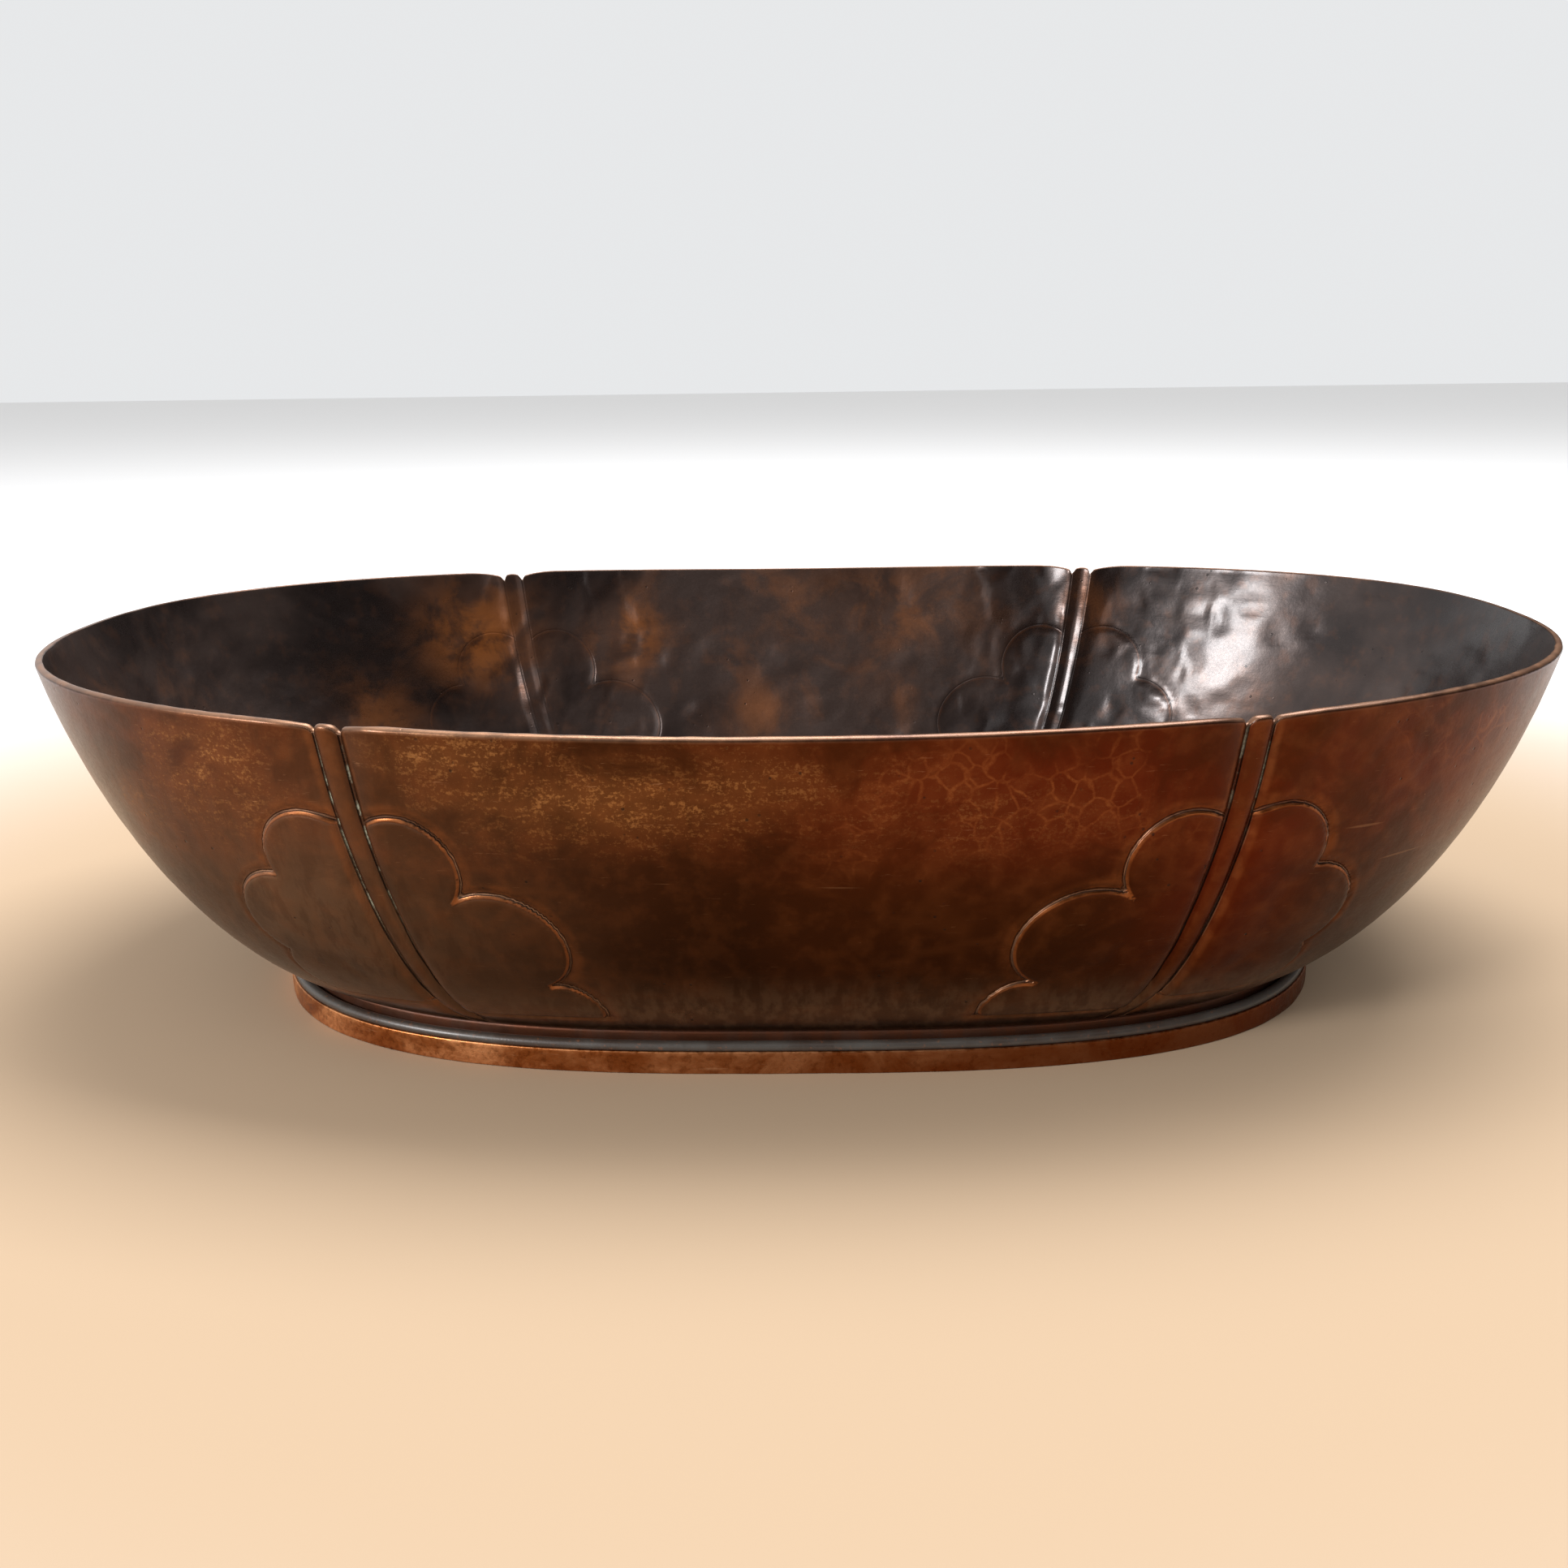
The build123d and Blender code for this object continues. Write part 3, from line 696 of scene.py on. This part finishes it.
def dark_collar(colours):
    """The collar: dusty grey on its bead, red-brown and streaked on its neck, painted shade in its corners
    and on its hidden faces.
    """
    finish = Finish("Dark copper")
    bead, corner = finish.mask("bead"), finish.mask("corner")
    clouds = finish.grain(60.0, detail=5.0, roughness=0.65, distortion=0.6)
    speckle = finish.grain(1100.0, detail=3.0, roughness=0.7)
    streaks = finish.grain(300.0, detail=3.0, roughness=0.6, vector=finish.stretched((1.0, 1.0, 0.2)))
    base = finish.mix((0.55 + 0.45 * clouds.step(0.36, 0.62)).clamped(), colours.dark_patina_and_shade, colours.collar)
    base = finish.mix((1 - bead) * (0.70 + 0.25 * streaks.step(0.42, 0.60)), base, colours.neck)
    base = finish.mix((bead * speckle.step(0.60, 0.70) * 0.35).clamped(), base, colours.rubbed)
    # Painted shade, in patches, where the bead meets the band and the neck, where the neck meets the bowl,
    # and on the hidden faces
    base = finish.mix((corner * 0.45 * clouds.step(0.30, 0.55)).clamped(), base, colours.grime_and_shade)
    gloss = (0.34 + 0.2 * clouds.step(0.35, 0.65) + 0.2 * corner).clamped()
    skin = finish.bumps(speckle * 0.5 + clouds, 0.25, 0.0004)
    return finish.shade(Base_Color=base, Metallic=(0.75 - 0.50 * bead).clamped(), Roughness=gloss,
                        Normal=skin, Coat_Weight=(0.12 + 0.25 * bead).clamped(), Coat_Roughness=0.3)


def tarnished_solder(colours):
    """Hard solder, tarnished, with small runs and pinholes."""
    finish = Finish("Solder")
    clouds = finish.grain(140.0, detail=5.0, roughness=0.6, distortion=0.5)
    grit = finish.grain(1200.0, detail=3.0, roughness=0.7)
    pinholes = finish.cells(500.0, "F1")
    base = finish.mix(clouds.step(0.36, 0.64), colours.solder, colours.patina)
    base = finish.mix(pinholes.step(0.22, 0.08), base, colours.grime_and_shade)
    gloss = (0.34 + 0.22 * clouds + 0.10 * grit).clamped()
    skin = finish.bumps(clouds * 0.7 + grit * 0.3 - 0.6 * pinholes.step(0.2, 0.06), 0.4, 0.0006)
    return finish.shade(Base_Color=base, Metallic=1.0, Roughness=gloss, Normal=skin)


# ---- pieces ---------------------------------------------------------------------------------
def wall_stack(angle, steps, top_share):
    """Rows of points up the smooth wall, their outward normals and their shares of its height."""
    share = steps[:, None] * top_share[None, :]
    points = wall_point(angle[None, :], share)
    step = 0.002
    along = wall_point(angle[None, :] + step, share) - wall_point(angle[None, :] - step, share)
    upward = wall_point(angle[None, :], share + step) - wall_point(angle[None, :], share - step)
    normal = np.cross(along, upward)
    return points, normal / np.linalg.norm(normal, axis=-1, keepdims=True), share


def bunched(count):
    """Steps from 0 to 1, a little closer together towards 1."""
    return 1 - (1 - np.linspace(0, 1, count)) ** 1.12


def disc_rings(ring, count):
    """Flat rings from a closed ring in towards its middle, outermost first, without the ring."""
    middle = ring.mean(axis=0)
    parts = 1 - np.arange(1, count + 1) / (count + 1)
    return middle + (ring - middle)[None] * parts[:, None, None]


def surface_unevenness(points, spacing, tilt, wave, seed):
    """Hammer marks and slow waves over a stack of rings."""
    flat = points.reshape(-1, 3)
    marks, edges = hammer_marks(flat, spacing, tilt, seed)
    return (marks.reshape(points.shape[:-1]), edges.reshape(points.shape[:-1]),
            slow_waves(flat, wave, WAVELENGTH).reshape(points.shape[:-1]))


def outside_skin(angle, wall, top_share, shape):
    """Rings up the outside of the wall, and the masks that its finish uses."""
    points, normal, share = wall_stack(angle, bunched(OUTSIDE_ROWS), top_share)
    turn = np.broadcast_to(angle, share.shape)
    across, up = wall.places(angle[None, :], share)
    relief, beside, away = chased_relief(turn, across, up, share, shape)
    clear = 0.3 + 0.7 * ease(np.minimum(np.abs(beside), np.abs(away)) / 1.5)
    marks, edges, waves = surface_unevenness(points, shape.facet, shape.facet_tilt, shape.wave,
                                             shape.seed)
    push = ease(up / 4.0) * (relief + marks * clear + waves) - EASING_IN * ease(up / 20.0)
    # low marks the lowest 30 mm of the wall, where a floor reflection is painted; below upper a painted
    # shade darkens the wall; dull marks the patches of painted sheen
    masks = {"beside": beside, "away": away, "facet_edge": edges * clear, "low": 1 - ease(up / 30.0),
             "rubbed": patches(points, RUBBED_PATCHES), "redness": patches(points, RED_PATCHES),
             "netted": patches(points, NETTED_PATCHES), "bloom": patches(points, BLOOM_PATCHES),
             "dull": patches(points, PAINTED_SHEEN_PATCHES), "upper": ease((up - 36.0) / 14.0)}
    return points + normal * push[..., None], masks


def inside_skin(angle, wall, top_share, shape):
    """Rings down the inside of the wall and over the floor, and the masks of their finish."""
    points, normal, share = wall_stack(angle, bunched(INSIDE_ROWS), top_share)
    turn = np.broadcast_to(angle, share.shape)
    across, up = wall.places(angle[None, :], share)
    points = points - normal * shape.sheet
    over_floor = points[..., 2] - SEAT_HEIGHT - shape.sheet
    cove = np.maximum(over_floor + FLOOR_COVE, 0) ** 2 / (4 * FLOOR_COVE)
    points[..., 2] += np.where(over_floor > FLOOR_COVE, 0, cove - over_floor)
    relief = 0.85 * ease(up / 8.0) * softened_relief(turn, across, up, share, shape)
    _, beside, away = chased_relief(turn, across, up, share, shape)
    floor = disc_rings(points[0], FLOOR_RINGS)
    down = np.broadcast_to((0.0, 0.0, -1.0), floor.shape)
    points = np.concatenate([points[::-1], floor])
    normal = np.concatenate([normal[::-1], down])
    blank = np.zeros(floor.shape[:-1])
    relief = np.concatenate([relief[::-1], blank])
    marks, edges, waves = surface_unevenness(points, shape.facet * 1.25, shape.facet_tilt_in,
                                             shape.wave, shape.seed + 1)
    up = np.concatenate([up[::-1], blank])
    marks *= 0.45 + 0.55 * ease(up / 14.0)
    push = relief + marks + waves - EASING_IN * ease(up / 20.0)
    none = 0 * push
    far = blank + FAR_OFF
    masks = {"beside": np.concatenate([beside[::-1], far]), "away": np.concatenate([away[::-1], far]),
             "facet_edge": edges, "low": none, "rubbed": 0.25 * patches(points, RUBBED_PATCHES),
             "redness": patches(points, WARM_PATCHES), "netted": none, "bloom": none,
             "dull": none, "upper": none}
    return points + normal * push[..., None], masks


def rim_rings(outer_edge, inner_edge, height, count):
    """The rounded edge of the sheet, from its outer face over to its inner face."""
    turn = math.pi * np.arange(1, count + 1)[:, None, None] / (count + 1)
    rings = outer_edge + (inner_edge - outer_edge) * (1 - np.cos(turn)) / 2
    rings[..., 2] += height * np.sin(turn[..., 0]) ** 0.7
    return rings


# Where the rim has been rubbed bright: angle and spread in degrees, and strength
RIM_PLACES = ((243.0, 34.0, 1.0), (200.0, 18.0, 0.6), (62.0, 26.0, 0.5), (340.0, 22.0, 0.55))
RIM_LEAST = 0.24


def rim_wear(angle):
    """How bright the rim has been rubbed, round the bowl."""
    wear = np.full(angle.shape, RIM_LEAST)
    for degrees, spread, strength in RIM_PLACES:
        away = (np.degrees(angle) - degrees + 180) % 360 - 180
        wear = np.maximum(wear, strength * np.exp(-(away / spread) ** 2))
    return wear


def build_bowl(shape, colours):
    """The raised bowl as one closed skin, from the middle of its underside over to its floor."""
    angle = column_angles()
    wall = WallMap()
    rim_across, _ = wall.places(angle, np.ones(angle.shape))
    rim_height = BOWL_TOP - EASING_IN - shape.rim_dip * np.sin(angle) ** 2 - rim_drop(rim_across, shape)
    shares = np.linspace(0, 1, 2001)
    top_share = np.interp(rim_height - shape.rim_round, cubic(shares, HEIGHT_CURVE), shares)
    outer, outer_masks = outside_skin(angle, wall, top_share, shape)
    inner, inner_masks = inside_skin(angle, wall, top_share, shape)
    rim = rim_rings(outer[-1], inner[0], shape.rim_round, RIM_RINGS)
    under = disc_rings(outer[0], UNDER_RINGS)[::-1]
    rings = np.clip(np.concatenate([under, outer, rim, inner]), BODY_LOW, BODY_HIGH)
    masks = {}
    for key, value in outer_masks.items():
        kept = 1.0 if key in ("rubbed", "redness") else 0.0
        masks[key] = np.concatenate([np.repeat(value[:1], len(under), axis=0), value,
                                     np.repeat(value[-1:] * kept, len(rim), axis=0), inner_masks[key]])
    counts = (len(under), len(outer), len(rim), len(inner))
    inside = np.repeat((0.0, 0.0, 0.5, 1.0), counts)
    edge = np.zeros(sum(counts))
    edge[counts[0] + counts[1] - 1:][:len(RIM_SHINE)] = RIM_SHINE
    masks["inside"] = np.repeat(inside[:, None], len(angle), axis=1)
    masks["rim"] = edge[:, None] * rim_wear(angle)[None, :]
    bowl = make_skin("raised_bowl", rings, masks, patinated_copper(colours))
    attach(bowl, "root")
    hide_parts("bowl_body")


def arc(centre, radius, start, end, count):
    """Points of an arc on a section, in degrees from straight in and turning up."""
    turn = np.radians(np.linspace(start, end, count))
    return np.stack([centre[0] + radius * np.cos(turn), centre[1] + radius * np.sin(turn)], axis=-1)


def run(start, end, count):
    """Points of a straight run on a section, without its ends."""
    part = np.linspace(0, 1, count + 2)[1:-1, None]
    return np.array(start) * (1 - part) + np.array(end) * part


def build_hoop(name, section, masks, material, unevenness):
    """A strip bent round the foot's oval and butted at the back. A section point is inset, height."""
    half_gap = HALF_SEAM / BAND_HIGH[1]
    angle = np.linspace(math.pi / 2 + half_gap, 2.5 * math.pi - half_gap, HOOP_COLUMNS)
    step = 1e-4

    def outline(turn):
        radius = oval_radius(turn, BAND_HIGH[0], BAND_HIGH[1], FOOT_SQUARENESS)
        return np.stack([radius * np.cos(turn), radius * np.sin(turn)], axis=-1)

    along = outline(angle + step) - outline(angle - step)
    along /= np.linalg.norm(along, axis=-1, keepdims=True)
    inward = np.stack([-along[:, 1], along[:, 0]], axis=-1)
    centre = outline(angle)
    hoop = np.empty((len(section), len(angle), 3))
    for row, (inset, height) in enumerate(section):
        hoop[row, :, :2] = centre + inward * inset
        hoop[row, :, 2] = height
        for column, (x, y, z) in enumerate(hoop[row]):
            wave = noise.noise(Vector((x, y, z * 2.0)) / 9.0) + 0.5
            hoop[row, column, :2] += inward[column] * unevenness * max(wave, 0.0)
    rows, columns = len(section), len(angle)
    faces = []
    for row in range(rows):
        for column in range(columns - 1):
            after = (row + 1) % rows * columns + column
            faces.append((row * columns + column, row * columns + column + 1, after + 1, after))
    faces.append([row * columns for row in range(rows)])
    faces.append([row * columns + columns - 1 for row in reversed(range(rows))])
    spread = {key: np.repeat(value, columns) for key, value in masks.items()}
    piece = make_piece(name, hoop.reshape(-1, 3), faces, spread, material)
    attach(piece, "root")
    return piece


def build_band(colours):
    """The foot's bright band, with its edges broken and its face planished a little uneven."""
    height = BAND_HIGH[2]
    edge = BAND_EDGE
    section = np.concatenate([
        arc((edge, edge), edge, 270, 180, 4), run((0, edge), (0, height - edge), 5),
        arc((edge, height - edge), edge, 180, 90, 4),
        arc((BAND_THICKNESS - edge, height - edge), edge, 90, 0, 4),
        arc((BAND_THICKNESS - edge, edge), edge, 0, -90, 4)])
    edge_mask = [0.4, 0.8, 0.8, 0.2] + [0.0] * 5 + [0.3, 1.0, 1.0, 0.4] + [0.3, 0.2, 0.0, 0.0] + [0.0] * 4
    # Where the band gets painted shade: its bottom and inner faces
    shaded_underside_mask = [1.0, 0.6, 0.2, 0.0] + [0.0] * 9 + [0.0, 0.3, 1.0, 1.0] + [1.0] * 4
    masks = {"edge": edge_mask, "under": shaded_underside_mask}
    band = build_hoop("foot_strip", section, masks, bright_copper(colours), BAND_UNEVENNESS)
    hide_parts("foot_band")


def build_collar(colours):
    """The collar: the neck that carries the bowl, a bead round its bottom and the flange under it."""
    flange, underside = COLLAR_HIGH[2] - COLLAR_RISE + FLANGE_LIFT, COLLAR_LOW[2]
    top = COLLAR_HIGH[2]
    inner = NECK_INSET + BAND_THICKNESS
    bend = FLANGE_BEND + BAND_THICKNESS
    bead = arc((BEAD_INSET, flange + BEAD_UP), BEAD_RADIUS, 203, -17, 15)
    section = np.concatenate([
        bead, [(NECK_INSET - 0.35, flange + 0.25), (NECK_INSET, flange + 0.6)],
        run((NECK_INSET, flange + 0.6), (NECK_INSET, top), 3),
        [(NECK_INSET, top), (inner, top)], run((inner, top), (inner, underside + bend), 1),
        arc((inner - bend, underside + bend), bend, 0, -90, 6),
        [(BAND_THICKNESS, underside), (BAND_THICKNESS, flange)]])
    rest = len(section) - len(bead)
    # corner: how much painted shade each point of the section gets
    corner = [1.0, 0.5] + [0.0] * 11 + [0.4, 0.9, 1.0, 0.7] + [0.1] * 3 + [0.9] + [0.5] * (rest - 6)
    masks = {"bead": [1.0] * len(bead) + [0.4] + [0.0] * (rest - 1), "corner": corner}
    collar = build_hoop("coved_collar", section, masks, dark_collar(colours), 0.0)
    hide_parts("foot_collar")


# ---- one operator for each piece, and one for the stage -------------------------------------
class BOWL_OT_raised_bowl(Operator):
    """Makes the raised, chased and planished bowl"""
    bl_idname = "bowl.raised_bowl"
    bl_label = "Raised bowl"

    def execute(self, context):
        build_bowl(context.scene.bowl_shape, context.scene.copper_finish)
        return {"FINISHED"}


class BOWL_OT_foot_band(Operator):
    """Makes the bright band of the foot"""
    bl_idname = "bowl.foot_band"
    bl_label = "Foot band"

    def execute(self, context):
        build_band(context.scene.copper_finish)
        return {"FINISHED"}


class BOWL_OT_foot_collar(Operator):
    """Makes the beaded collar between the band and the bowl"""
    bl_idname = "bowl.foot_collar"
    bl_label = "Foot collar"

    def execute(self, context):
        build_collar(context.scene.copper_finish)
        return {"FINISHED"}


class BOWL_OT_solder(Operator):
    """Gives the four solder joints their tarnished finish"""
    bl_idname = "bowl.solder"
    bl_label = "Solder joints"

    def execute(self, context):
        solder = tarnished_solder(context.scene.copper_finish)
        for node in SOLDER_NODES:
            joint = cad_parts[node]
            if not joint.material_slots:
                raise RuntimeError(f"{node} has no material slot")
            for place in joint.material_slots:
                place.material = solder
        return {"FINISHED"}


def add_softbox(name, place, aim, size, power, colour_value):
    """A large soft light, facing aim. Lengths in metres."""
    light = bpy.data.lights.new(name, "AREA")
    light.shape = "RECTANGLE"
    light.size, light.size_y = size
    light.energy = power
    light.color = colour_value
    lamp = bpy.data.objects.new(name, light)
    lamp.location = place
    lamp.rotation_euler = (Vector(aim) - Vector(place)).to_track_quat("-Z", "Y").to_euler()
    bpy.context.collection.objects.link(lamp)


def make_sheet(name, corners, material):
    """A flat sheet with four corners, in metres."""
    mesh = bpy.data.meshes.new(name)
    mesh.from_pydata(corners, [], [(0, 1, 2, 3)])
    mesh.materials.append(material)
    sheet = bpy.data.objects.new(name, mesh)
    bpy.context.collection.objects.link(sheet)
    return sheet


def add_card(name, start, end, top, material):
    """A card that shows only in reflections, to give polished metal something dark to mirror."""
    corners = [(*start, CARD_BOTTOM), (*end, CARD_BOTTOM), (*end, top), (*start, top)]
    card = make_sheet(name, corners, material)
    card.visible_camera = False
    card.visible_diffuse = False
    card.visible_shadow = False


class BOWL_OT_stage(Operator):
    """Lays a plain pale floor, hangs soft lights and places the camera"""
    bl_idname = "bowl.stage"
    bl_label = "Stage"

    def execute(self, context):
        studio = context.scene.studio
        floor_finish = Finish("Pale floor")
        from_bowl = floor_finish.add("ShaderNodeVectorMath", {"operation": "LENGTH"},
                                     {0: floor_finish.spot}, "Value")
        tone = floor_finish.mix(from_bowl.step(*FLOOR_FADE), studio.floor, studio.far_floor)
        floor_finish.shade(Base_Color=tone, Roughness=0.9)
        reach = FLOOR_REACH
        floor = make_sheet("floor", [(-reach, -reach, 0), (reach, -reach, 0), (reach, reach, 0),
                                     (-reach, reach, 0)], floor_finish.material)

        world = bpy.data.worlds.new("Pale room")
        world.use_nodes = True
        room = world.node_tree.nodes["Background"]
        room.inputs["Color"].default_value = (*studio.room, 1.0)
        context.scene.world = world
        black = Finish("Card").shade(Base_Color=(0.0, 0.0, 0.0), Roughness=1.0, Emission_Color=studio.card,
                                     Emission_Strength=1.0)
        for name, start, end, top in CARDS:
            add_card(name, start, end, top, black)
        for name, place, aim, size, power in SOFTBOXES:
            add_softbox(name, place, aim, size, power, DAYLIGHT)

        camera_data = bpy.data.cameras.new("camera")
        camera_data.lens = studio.lens
        camera_data.sensor_width = 36.0
        camera_data.clip_start = 0.01
        camera = bpy.data.objects.new("camera", camera_data)
        upright = math.pi / 2 - studio.tilt
        turn = Matrix.Rotation(studio.turn, 4, "Z") @ Matrix.Rotation(upright, 4, "X")
        camera.matrix_world = (Matrix.Translation(studio.place) @ turn
                               @ Matrix.Rotation(studio.roll, 4, "Z"))
        context.collection.objects.link(camera)
        context.scene.camera = camera
        context.scene.view_settings.view_transform = "Standard"
        return {"FINISHED"}


class BOWL_PT_panel(Panel):
    """Buttons that build the bowl, and the sizes and colours they use"""
    bl_idname = "BOWL_PT_panel"
    bl_label = "Copper bowl"
    bl_space_type = "VIEW_3D"
    bl_region_type = "UI"
    bl_category = "Bowl"

    def draw(self, context):
        for operator in OPERATORS:
            self.layout.operator(operator.bl_idname)
        for group in (context.scene.bowl_shape, context.scene.copper_finish, context.scene.studio):
            box = self.layout.box()
            for name in group.__annotations__:
                box.prop(group, name)


OPERATORS = (BOWL_OT_raised_bowl, BOWL_OT_foot_band, BOWL_OT_foot_collar, BOWL_OT_solder, BOWL_OT_stage)
GROUPS = (BowlShape, CopperFinish, StudioSettings)


def register():
    for item in GROUPS + OPERATORS + (BOWL_PT_panel,):
        bpy.utils.register_class(item)
    bpy.types.Scene.bowl_shape = PointerProperty(type=BowlShape)
    bpy.types.Scene.copper_finish = PointerProperty(type=CopperFinish)
    bpy.types.Scene.studio = PointerProperty(type=StudioSettings)


def unregister():
    del bpy.types.Scene.studio
    del bpy.types.Scene.copper_finish
    del bpy.types.Scene.bowl_shape
    for item in reversed(GROUPS + OPERATORS + (BOWL_PT_panel,)):
        bpy.utils.unregister_class(item)


def main():
    register()
    bpy.ops.bowl.raised_bowl()
    bpy.ops.bowl.foot_band()
    bpy.ops.bowl.foot_collar()
    bpy.ops.bowl.solder()
    bpy.ops.bowl.stage()


if __name__ == "__main__":
    main()
